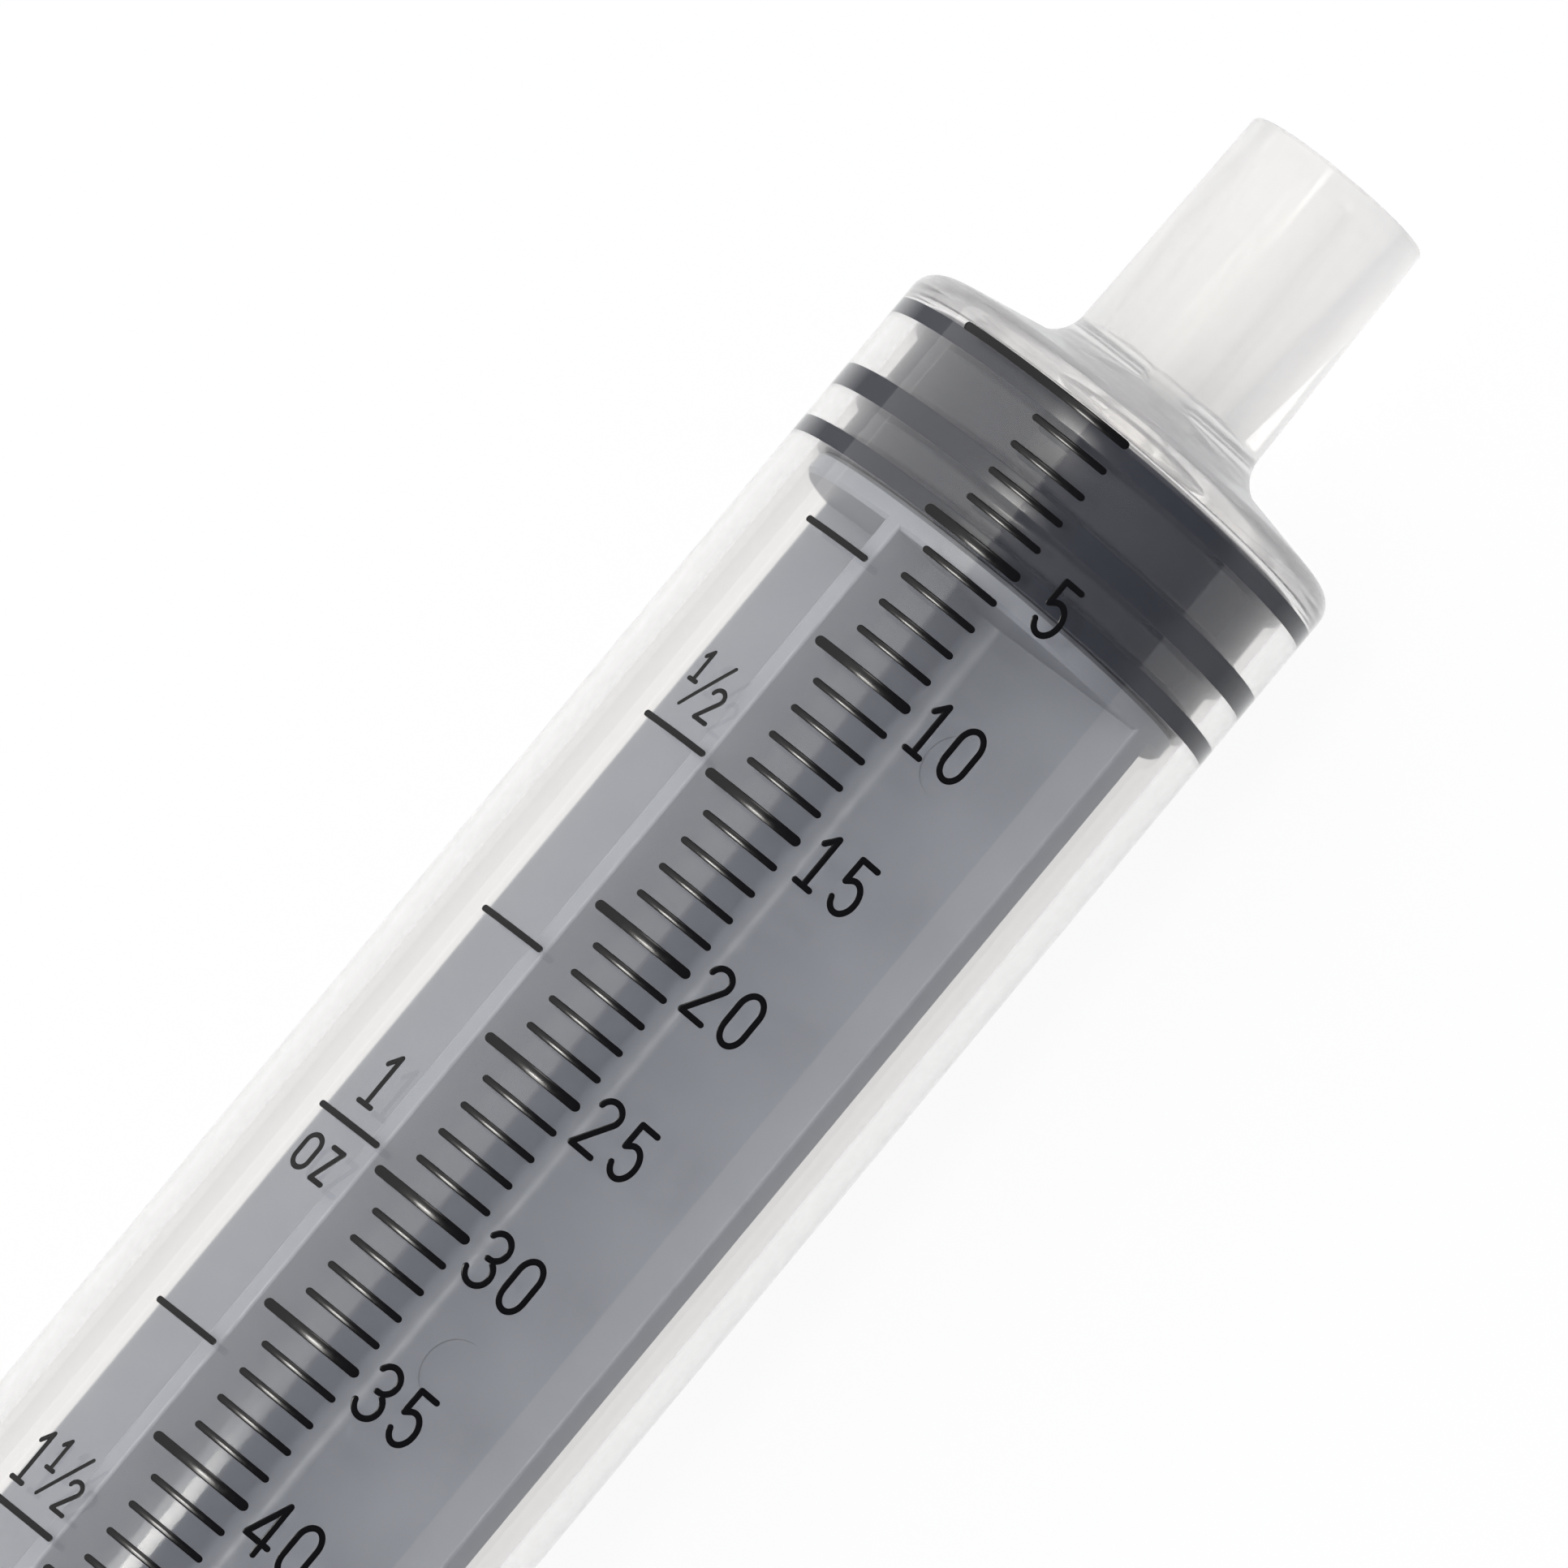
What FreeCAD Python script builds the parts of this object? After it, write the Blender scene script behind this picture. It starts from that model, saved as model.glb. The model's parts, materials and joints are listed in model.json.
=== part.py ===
import FreeCAD, Part
import math
import os

# A 60 mL syringe lying on its side, in millimetres. +X runs along the axis towards the tip, +Z is up, and
# the print faces +Z. The origin is the middle of the finger flange's lower flat, on the surface it lies on.

# Barrel tube
BORE_DIAMETER = 26.1
BARREL_WALL = 1.5
CAPACITY_ML = 60.0
END_SPACE = 18.0  # from the last mark of the scale to the rear face of the flange
BORE_CORNER_BEVEL = 0.3  # also on the stopper's front edge, which comes up to that corner

# Shoulder between the tube and the collar
SHOULDER_ANGLE = 12.5  # degrees between the shoulder's cone and a plane across the axis
SHOULDER_WALL = 1.77
SHOULDER_ROUND = 1.4
COLLAR_ROOT_FILLET = 1.7

# Locking collar and the nozzle inside it
COLLAR_BORE_DIAMETER = 8.7
COLLAR_END_WALL = 1.6
COLLAR_BASE_WALL = 1.95
COLLAR_LENGTH = 16.4
COLLAR_DEPTH = 14.9
COLLAR_RIM_BEVEL = 0.25
NOZZLE_TIP_DIAMETER = 3.97
NOZZLE_TAPER = 0.06  # growth of the diameter for each millimetre of length
NOZZLE_SETBACK = 1.2  # how far inside the collar's rim the nozzle ends
NOZZLE_BORE_DIAMETER = 2.4
NOZZLE_TIP_BEVEL = 0.2

# Mouth of the barrel, where the plunger goes in
MOUTH_CHAMFER = 0.6
MOUTH_LENGTH = 4.0
RIDGE_WIDTH = 1.5
RIDGE_HEIGHT = 0.25
RIDGE_RAMP = 0.5

# Finger flange
FLANGE_SPAN = 50.0
FLANGE_THICKNESS = 2.4
FLANGE_STEP = 0.8  # how far the flange's flats stand out past the tube
FLANGE_CORNER_ROUND = 4.0
FLANGE_EDGE_BEVEL = 0.4
FLANGE_ROOT_BEVEL = 0.3

# Stopper
SEAL_CLEARANCE = 0.05  # radial, between the rings and the bore
FACE_GAP = 0.25  # between the stopper's cone and the inside of the shoulder at 0 mL
WAIST_DEPTH = 0.6  # how far the waists between the rings are cut in
FIRST_RING_WIDTH = 0.85
SECOND_RING_START = 4.6
SECOND_RING_WIDTH = 1.6
THIRD_RING_START = 8.25
THIRD_RING_WIDTH = 1.55
RING_FLANK = 0.35
NOSE_DIAMETER = 4.2
SOCKET_WALL = 3.2  # rubber between the socket and the waists
SOCKET_LIP = 1.7  # how far the socket's neck closes in behind the boss
SOCKET_NECK_LENGTH = 1.8
SOCKET_DEPTH = 6.2
SOCKET_BEVEL = 1.4

# Plunger rod
SOCKET_CLEARANCE = 0.05  # radial and axial, between the rod's boss and the stopper's socket
VANE_CLEARANCE = 0.5  # radial, between the vanes' edges and the bore
HEAD_DISC_CLEARANCE = 0.5
HEAD_DISC_THICKNESS = 1.4
HEAD_DISC_BEVEL = 0.25
VANE_TIP_THICKNESS = 1.0
VANE_ROOT_THICKNESS = 2.4
SIDE_VANE_THICKNESS = 1.8
VANE_EDGE_ROUND = 0.2
VANE_ROOT_FILLET = 1.3
ROD_ROLL = 19.0  # degrees that the front vane leans from +Z towards +Y
EJECTOR_MARK_DIAMETER = 4.0
EJECTOR_MARK_DEPTH = 0.1
EJECTOR_MARK_OFFSET = 5.5
EJECTOR_MARK_START = 18.9  # from the zero line to the first pair of marks
EJECTOR_MARK_PITCH = 43.0

# Thumb disc
THUMB_GAP = 12.0  # between the thumb disc and the flange when the plunger is fully in
THUMB_DISC_DIAMETER = 28.6
THUMB_DISC_THICKNESS = 2.6
THUMB_DISC_BEVEL = 0.5
GRIP_RING_COUNT = 2
GRIP_RING_PITCH = 3.5
GRIP_RING_MARGIN = 3.0  # from the disc's edge to the outermost ring
GRIP_RING_WIDTH = 0.9
GRIP_RING_HEIGHT = 0.35

SAME_POINT = 1e-6  # nearer than this, two points or heights are taken as one

# Sizes that follow from the ones above
bore_r = BORE_DIAMETER / 2
barrel_r = bore_r + BARREL_WALL
axis_height = barrel_r + FLANGE_STEP
ml_length = 1000.0 / (math.pi * bore_r**2)
shoulder_slope = math.tan(math.radians(SHOULDER_ANGLE))
shoulder_cos = math.cos(math.radians(SHOULDER_ANGLE))
rear_x = -FLANGE_THICKNESS / 2
zero_x = rear_x + END_SPACE + CAPACITY_ML * ml_length
ring_r = bore_r - SEAL_CLEARANCE
waist_r = ring_r - WAIST_DEPTH
socket_r = waist_r - SOCKET_WALL
socket_neck_r = socket_r - SOCKET_LIP
stopper_rear_x = zero_x - THIRD_RING_START - THIRD_RING_WIDTH


def axial(x, r):
    """A point of a half section, on the plane through the axis."""
    return FreeCAD.Vector(x, 0, r)


def across(y, z):
    """A point of a cross section, on the plane square to the axis."""
    return FreeCAD.Vector(0, y, z)


def unit(a, b):
    """The direction from point a to point b in the plane."""
    length = math.hypot(b[0] - a[0], b[1] - a[1])
    return (b[0] - a[0]) / length, (b[1] - a[1]) / length


def shaped_corner(before_point, corner, after_point, place):
    """The points where a corner's cut starts and ends, and its edge: an arc, a bevel or nothing."""
    u, v, kind, size = corner
    before = unit((u, v), before_point)
    after = unit((u, v), after_point)
    half = math.acos(before[0] * after[0] + before[1] * after[1]) / 2
    reach = size / math.tan(half) if kind == "round" else size
    start = (u + reach * before[0], v + reach * before[1])
    end = (u + reach * after[0], v + reach * after[1])
    if kind == "sharp":
        return start, end, []
    if kind == "bevel":
        return start, end, [Part.makeLine(place(*start), place(*end))]
    middle = unit((0, 0), (before[0] + after[0], before[1] + after[1]))
    depth = size / math.sin(half) - size
    crown = (u + depth * middle[0], v + depth * middle[1])
    return start, end, [Part.Arc(place(*start), place(*crown), place(*end)).toShape()]


def outlined_face(outline, place):
    """A face inside an outline of corners (u, v), (u, v, "round", radius) or (u, v, "bevel", leg)."""
    corners = [corner if len(corner) == 4 else (*corner, "sharp", 0) for corner in outline]
    count = len(corners)
    cuts = [
        shaped_corner(corners[i - 1], corners[i], corners[(i + 1) % count], place) for i in range(count)
    ]
    edges = []
    for i, (_, end, corner_edges) in enumerate(cuts):
        next_start = cuts[(i + 1) % count][0]
        edges += corner_edges
        if math.dist(end, next_start) > SAME_POINT:
            edges.append(Part.makeLine(place(*end), place(*next_start)))
    return Part.Face(Part.Wire(edges))


def turned(outline):
    """The solid that a half section sweeps round the axis."""
    face = outlined_face(outline, axial)
    return face.revolve(FreeCAD.Vector(0, 0, 0), FreeCAD.Vector(1, 0, 0), 360)


def shoulder_inside_x(r):
    """Where the inside of the shoulder's cone lies at radius r."""
    return zero_x + FACE_GAP / shoulder_cos + (bore_r - r) * shoulder_slope


def shoulder_outside_x(r):
    """Where the outside of the shoulder's cone lies at radius r."""
    return shoulder_inside_x(r) + SHOULDER_WALL / shoulder_cos


def barrel_body():
    """The tube, shoulder, collar and nozzle, from one half section."""
    nozzle_bore_r = NOZZLE_BORE_DIAMETER / 2
    collar_bore_r = COLLAR_BORE_DIAMETER / 2
    collar_base_r = collar_bore_r + COLLAR_BASE_WALL
    collar_end_r = collar_bore_r + COLLAR_END_WALL
    collar_base_x = shoulder_outside_x(collar_base_r)
    collar_end_x = collar_base_x + COLLAR_LENGTH
    floor_x = collar_end_x - COLLAR_DEPTH
    tip_x = collar_end_x - NOZZLE_SETBACK
    tip_r = NOZZLE_TIP_DIAMETER / 2
    root_r = tip_r + (tip_x - floor_x) * NOZZLE_TAPER / 2
    ridge_r = bore_r - RIDGE_HEIGHT
    ridge_x = rear_x + MOUTH_LENGTH
    return turned([
        (tip_x, nozzle_bore_r),
        (tip_x, tip_r, "bevel", NOZZLE_TIP_BEVEL),
        (floor_x, root_r),
        (floor_x, collar_bore_r),
        (collar_end_x, collar_bore_r, "bevel", COLLAR_RIM_BEVEL),
        (collar_end_x, collar_end_r, "bevel", COLLAR_RIM_BEVEL),
        (collar_base_x, collar_base_r, "round", COLLAR_ROOT_FILLET),
        (shoulder_outside_x(barrel_r), barrel_r, "round", SHOULDER_ROUND),
        (FLANGE_THICKNESS / 2 + FLANGE_ROOT_BEVEL, barrel_r),
        (FLANGE_THICKNESS / 2, barrel_r + FLANGE_ROOT_BEVEL),
        (rear_x, barrel_r + FLANGE_ROOT_BEVEL),
        (rear_x, bore_r + MOUTH_CHAMFER),
        (rear_x + MOUTH_CHAMFER, bore_r),
        (ridge_x, bore_r),
        (ridge_x + RIDGE_RAMP, ridge_r),
        (ridge_x + RIDGE_WIDTH - RIDGE_RAMP, ridge_r),
        (ridge_x + RIDGE_WIDTH, bore_r),
        (shoulder_inside_x(bore_r), bore_r, "bevel", BORE_CORNER_BEVEL),
        (shoulder_inside_x(nozzle_bore_r), nozzle_bore_r),
    ])


def flange_plate():
    """The oblong finger flange: a disc cut by two flats, with rounded corners and bevelled edges."""
    half_span = FLANGE_SPAN / 2
    disc = Part.makeCylinder(
        half_span, FLANGE_THICKNESS, FreeCAD.Vector(rear_x, 0, 0), FreeCAD.Vector(1, 0, 0)
    )
    strip = Part.makeBox(
        FLANGE_THICKNESS,
        FLANGE_SPAN,
        2 * axis_height,
        FreeCAD.Vector(rear_x, -half_span, -axis_height),
    )
    plate = disc.common(strip)
    corners = [
        edge for edge in plate.Edges
        if edge.BoundBox.ZLength < SAME_POINT and edge.BoundBox.XLength > SAME_POINT
    ]
    plate = plate.makeFillet(FLANGE_CORNER_ROUND, corners)
    rims = [edge for edge in plate.Edges if edge.BoundBox.XLength < SAME_POINT]
    plate = plate.makeChamfer(FLANGE_EDGE_BEVEL, rims)
    hole = Part.makeCylinder(
        barrel_r, FLANGE_THICKNESS, FreeCAD.Vector(rear_x, 0, 0), FreeCAD.Vector(1, 0, 0)
    )
    return plate.cut(hole)


def make_barrel():
    """The whole clear moulding."""
    return barrel_body().fuse(flange_plate()).removeSplitter()


def make_stopper():
    """The rubber stopper: a coned face, three sealing rings, and the socket for the rod's boss."""
    nose_r = NOSE_DIAMETER / 2
    nose_x = shoulder_inside_x(nose_r) - FACE_GAP / shoulder_cos
    face_x = shoulder_inside_x(ring_r) - FACE_GAP / shoulder_cos
    first_rear_x = zero_x - FIRST_RING_WIDTH
    second_x = zero_x - SECOND_RING_START
    second_rear_x = second_x - SECOND_RING_WIDTH
    third_x = zero_x - THIRD_RING_START
    neck_x = stopper_rear_x + SOCKET_NECK_LENGTH
    socket_x = stopper_rear_x + SOCKET_DEPTH
    return turned([
        (nose_x, 0),
        (nose_x, nose_r),
        (face_x, ring_r, "bevel", BORE_CORNER_BEVEL),
        (first_rear_x, ring_r),
        (first_rear_x - RING_FLANK, waist_r),
        (second_x + RING_FLANK, waist_r),
        (second_x, ring_r),
        (second_rear_x, ring_r),
        (second_rear_x - RING_FLANK, waist_r),
        (third_x + RING_FLANK, waist_r),
        (third_x, ring_r),
        (stopper_rear_x, ring_r),
        (stopper_rear_x, socket_neck_r),
        (neck_x, socket_neck_r),
        (neck_x, socket_r),
        (socket_x, socket_r, "bevel", SOCKET_BEVEL),
        (socket_x, 0),
    ])


def rod_head():
    """The head disc and the boss that snaps into the stopper."""
    disc_r = bore_r - HEAD_DISC_CLEARANCE
    disc_x = stopper_rear_x - SOCKET_CLEARANCE
    neck_r = socket_neck_r - SOCKET_CLEARANCE
    boss_r = socket_r - SOCKET_CLEARANCE
    boss_rear_x = stopper_rear_x + SOCKET_NECK_LENGTH + SOCKET_CLEARANCE
    boss_x = stopper_rear_x + SOCKET_DEPTH - SOCKET_CLEARANCE
    return turned([
        (disc_x - HEAD_DISC_THICKNESS, 0),
        (disc_x - HEAD_DISC_THICKNESS, disc_r, "bevel", HEAD_DISC_BEVEL),
        (disc_x, disc_r, "bevel", HEAD_DISC_BEVEL),
        (disc_x, neck_r),
        (boss_rear_x, neck_r),
        (boss_rear_x, boss_r),
        (boss_x, boss_r, "bevel", SOCKET_BEVEL),
        (boss_x, 0),
    ])


def vane_cross(start_x, end_x):
    """The four crossed vanes: the upright pair is drafted, and the side pair lies in the parting plane."""
    reach = bore_r - VANE_CLEARANCE
    tip = VANE_TIP_THICKNESS / 2
    root = VANE_ROOT_THICKNESS / 2
    side = SIDE_VANE_THICKNESS / 2
    quarter = [
        (tip, reach, "round", VANE_EDGE_ROUND),
        (root, side, "round", VANE_ROOT_FILLET),
        (reach, side, "round", VANE_EDGE_ROUND),
    ]
    outline = []
    for y_sign, z_sign, turn in ((1, 1, 1), (1, -1, -1), (-1, -1, 1), (-1, 1, -1)):
        outline += [(y_sign * y, z_sign * z, kind, size) for y, z, kind, size in quarter[::turn]]
    face = outlined_face(outline, across)
    face.translate(FreeCAD.Vector(start_x, 0, 0))
    return face.extrude(FreeCAD.Vector(end_x - start_x, 0, 0))


def ejector_marks(start_x):
    """Shallow round marks that the mould's pins leave on one side of the side vanes."""
    marks = []
    x = zero_x - EJECTOR_MARK_START
    while x - EJECTOR_MARK_DIAMETER > start_x:
        for side in (-1, 1):
            foot = FreeCAD.Vector(x, side * EJECTOR_MARK_OFFSET, SIDE_VANE_THICKNESS / 2 - EJECTOR_MARK_DEPTH)
            marks.append(Part.makeCylinder(EJECTOR_MARK_DIAMETER / 2, SIDE_VANE_THICKNESS, foot))
        x -= EJECTOR_MARK_PITCH
    return marks


def thumb_disc(front_x):
    """The round thumb disc, with low grip rings on its rear face."""
    back_x = front_x - THUMB_DISC_THICKNESS
    disc_r = THUMB_DISC_DIAMETER / 2
    disc = turned([
        (front_x, 0),
        (back_x, 0),
        (back_x, disc_r, "bevel", THUMB_DISC_BEVEL),
        (front_x, disc_r, "bevel", THUMB_DISC_BEVEL),
    ])
    rings = []
    for i in range(GRIP_RING_COUNT):
        crest_r = disc_r - GRIP_RING_MARGIN - i * GRIP_RING_PITCH
        rings.append(turned([
            (back_x + GRIP_RING_HEIGHT, crest_r - GRIP_RING_WIDTH),
            (back_x - GRIP_RING_HEIGHT, crest_r),
            (back_x + GRIP_RING_HEIGHT, crest_r + GRIP_RING_WIDTH),
        ]))
    return disc.fuse(rings)


def make_plunger_rod():
    """The whole rod: head, vanes and thumb disc."""
    vane_end_x = stopper_rear_x - SOCKET_CLEARANCE - HEAD_DISC_THICKNESS / 2
    thumb_x = rear_x - THUMB_GAP
    vane_start_x = thumb_x - THUMB_DISC_THICKNESS / 2
    vanes = vane_cross(vane_start_x, vane_end_x).cut(ejector_marks(thumb_x))
    rod = vanes.fuse([rod_head(), thumb_disc(thumb_x)]).removeSplitter()
    rod.rotate(FreeCAD.Vector(0, 0, 0), FreeCAD.Vector(1, 0, 0), -ROD_ROLL)
    return rod


def main():
    os.makedirs("parts", exist_ok=True)
    nodes = {
        "barrel": make_barrel(),
        "stopper": make_stopper(),
        "plunger_rod": make_plunger_rod(),
    }
    for name, shape in nodes.items():
        shape.translate(FreeCAD.Vector(0, 0, axis_height))
        shape.exportStep(f"parts/{name}.step")
        print(name, len(shape.Solids), shape.isValid(), round(shape.Volume, 1))
    travel = stopper_rear_x - (rear_x + MOUTH_LENGTH + RIDGE_WIDTH)
    print("zero line at", round(zero_x, 3), "travel to the ridge", round(travel, 3))


main()
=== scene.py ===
import json
import math
from functools import partial

import bmesh
import bpy
from mathutils import Matrix, Vector


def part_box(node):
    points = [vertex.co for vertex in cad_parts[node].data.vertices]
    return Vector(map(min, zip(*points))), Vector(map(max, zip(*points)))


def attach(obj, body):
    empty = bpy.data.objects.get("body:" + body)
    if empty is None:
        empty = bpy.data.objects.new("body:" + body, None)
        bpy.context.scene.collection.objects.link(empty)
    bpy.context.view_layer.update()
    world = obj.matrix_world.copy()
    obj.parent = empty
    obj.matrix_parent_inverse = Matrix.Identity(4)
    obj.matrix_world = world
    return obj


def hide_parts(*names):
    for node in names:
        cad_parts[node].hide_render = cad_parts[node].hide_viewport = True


# A 60 mL luer lock syringe lying on the flat of its finger flange, seen from above and close to its tip.
# Sizes are in millimetres and angles in degrees. MM turns a size to metres where a mesh is made.
# An angle round the axis is measured from +Z towards +Y.

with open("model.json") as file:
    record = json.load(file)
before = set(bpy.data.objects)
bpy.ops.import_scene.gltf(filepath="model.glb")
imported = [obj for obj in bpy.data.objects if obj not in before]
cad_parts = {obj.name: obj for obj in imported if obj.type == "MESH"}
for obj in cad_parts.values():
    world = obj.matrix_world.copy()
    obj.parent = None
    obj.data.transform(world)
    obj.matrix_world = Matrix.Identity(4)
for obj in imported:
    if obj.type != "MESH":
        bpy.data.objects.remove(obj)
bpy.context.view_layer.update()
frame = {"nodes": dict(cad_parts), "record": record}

MM = 0.001

# Sizes that the model gives. The flange's two faces lie evenly about x = 0.
mounts = {mount["name"]: mount for mount in frame["record"]["mounts"]}
barrel_low, barrel_high = [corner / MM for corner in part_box("barrel")]
stopper_rear_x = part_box("stopper")[0].x / MM
barrel_r = mounts["barrel_outside"]["dims"]["r_mm"]
axis_z = mounts["barrel_outside"]["pos_m"][2] / MM
flange_rear_x = barrel_low.x
flange_front_x = -barrel_low.x
collar_end_x = barrel_high.x
flange_half_span = barrel_high.y
flange_half_height = axis_z

# Barrel
BARREL_WALL = 1.5
BORE_CORNER_ROUND = 0.6
SHOULDER_ANGLE = 12.5
SHOULDER_WALL = 1.77
SHOULDER_ROUND = 1.4
COLLAR_ROOT_FILLET = 2.3
COLLAR_BORE_R = 4.35
COLLAR_END_WALL = 1.6
COLLAR_BASE_WALL = 1.95
COLLAR_DEPTH = 14.9
COLLAR_RIM_ROUND = 0.3
COLLAR_FLOOR_ROUND = 0.5
NOZZLE_TIP_R = 1.985
NOZZLE_SLOPE = 0.03
NOZZLE_SETBACK = 1.2
NOZZLE_BORE_R = 1.2
NOZZLE_INLET_ROUND = 0.4
NOZZLE_OUTLET_ROUND = 0.1
NOZZLE_TIP_ROUND = 0.25
MOUTH_CHAMFER = 0.6
MOUTH_LENGTH = 4.0
MOUTH_ROUND = 0.2
RIDGE_WIDTH = 1.5
RIDGE_HEIGHT = 0.25
RIDGE_FOOT_ROUND = 0.3
RIDGE_TOP_ROUND = 0.5
FLANGE_CORNER_ROUND = 4.0
FLANGE_EDGE_ROUND = 0.4
FLANGE_ROOT_ROUND = 0.3

# Stopper, measured back from the zero line
FACE_GAP = 0.25
FACE_EDGE_ROUND = 0.5
NOSE_R = 2.1
NOSE_ROUND = 0.5
RING_SQUEEZE = 0.02  # the rings press this far into the wall, so that they touch it all round
RINGS = ((0.0, 1.3), (4.95, 6.45), (8.65, 9.8))
RING_FLANK = 0.35
RING_EDGE_ROUND = 0.12
WAIST_DEPTH = 0.65
WAIST_ROUND = 0.4
SOCKET_R = 9.2
SOCKET_NECK_R = 7.5
SOCKET_NECK_LENGTH = 1.8
SOCKET_DEPTH = 6.2
SOCKET_EDGE_ROUND = 0.2
SOCKET_FLOOR_ROUND = 1.6

# Fineness of the meshes
COLUMNS = 360  # round the axis
ARC_STEP = 9.0  # between the points of a rounding
FIGURE_STEP = 12.0  # between the points of a figure's arc
INK_STEP = 0.2  # between the ribs of an ink stroke
CREASE_ANGLE = 35.0  # an edge sharper than this stays crisp

# Print. Places across it are arc lengths along the barrel's outside, right of the line under +Z.
CAPACITY_ML = 60
OUNCE_ML = 29.5735
PRINT_SETBACK = 0.13  # how far the printed zero line lies behind the stopper's front edge
INK_HEIGHT = 0.03
INK_ROOT = 0.003  # how deep the ink's underside lies in the wall
MAJOR_STROKE = 0.6
MINOR_STROKE = 0.42
ZERO_STROKE = 0.52
OUNCE_STROKE = 0.4
DIGIT_STROKE = 0.37
LABEL_STROKE = 0.33
FRACTION_STROKE = 0.28
SLASH_STROKE = 0.238
TICK_RIGHT = 3.45
MAJOR_LEFT = -2.65
MINOR_LEFT = -1.3
ZERO_LEFT = -8.6
OUNCE_LEFT = -8.5
OUNCE_RIGHT = -3.76
OUNCE_SHIFT = 0.15  # how far the ounce scale lies forward of its true place
NUMBER_MIDDLE = 6.33
NUMBER_PITCH = 2.35
LABEL_LIFT = 1.36  # from an ounce tick to the foot of its label
UNIT_DROP = 3.6  # from the tick of one ounce to the foot of the unit
OUNCE_LABELS = ((0.5, "1/2", -7.12), (1, "1", -6.86), (1.5, "1", -8.83), (1.5, "1/2", -6.33), (2, "2", -6.9))
UNIT_LETTERS = (("o", -7.6), ("z", -5.78))
HALF_ONE = (-0.8, 1.55, 0.6)  # right and forward of the fraction's foot, and its scale
HALF_TWO = (1.4, 0.0, 0.63)
HALF_SLASH = ((0.0, 0.1), (1.6, 3.4))

bore_r = barrel_r - BARREL_WALL
ring_r = bore_r + RING_SQUEEZE
waist_r = ring_r - WAIST_DEPTH
zero_x = stopper_rear_x + RINGS[-1][1]
print_x = zero_x - PRINT_SETBACK
ml_length = 1000.0 / (math.pi * bore_r**2)
shoulder_slope = math.tan(math.radians(SHOULDER_ANGLE))
shoulder_cos = math.cos(math.radians(SHOULDER_ANGLE))

# Looks
TUBE_HAZE = 0.012  # the share of light that each face of the clear plastic scatters
SHOULDER_HAZE = 0.43
HAZE_RAMP = 2.5  # the length over which the haze grows from the tube's to the shoulder's


def linear(hex_colour):
    """An sRGB hex colour as linear red, green, blue and alpha."""
    channels = [int(hex_colour[i:i + 2], 16) / 255 for i in (1, 3, 5)]
    curved = [c / 12.92 if c <= 0.04045 else ((c + 0.055) / 1.055) ** 2.4 for c in channels]
    return (*curved, 1.0)


def pattern_scale(size):
    """The scale of a pattern whose parts are about this many millimetres wide."""
    return 1 / (size * MM)


def add_node(tree, kind, settings, inputs):
    """A new node with its settings, and its inputs filled with values or linked to other nodes' outputs."""
    node = tree.nodes.new(kind)
    for name, value in settings.items():
        setattr(node, name, value)
    for name, value in inputs.items():
        if isinstance(value, bpy.types.NodeSocket):
            tree.links.new(value, node.inputs[name])
        else:
            node.inputs[name].default_value = value
    return node


def new_tree(owner):
    """The emptied node tree of a material or world."""
    owner.use_nodes = True
    owner.node_tree.nodes.clear()
    return owner.node_tree


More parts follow.
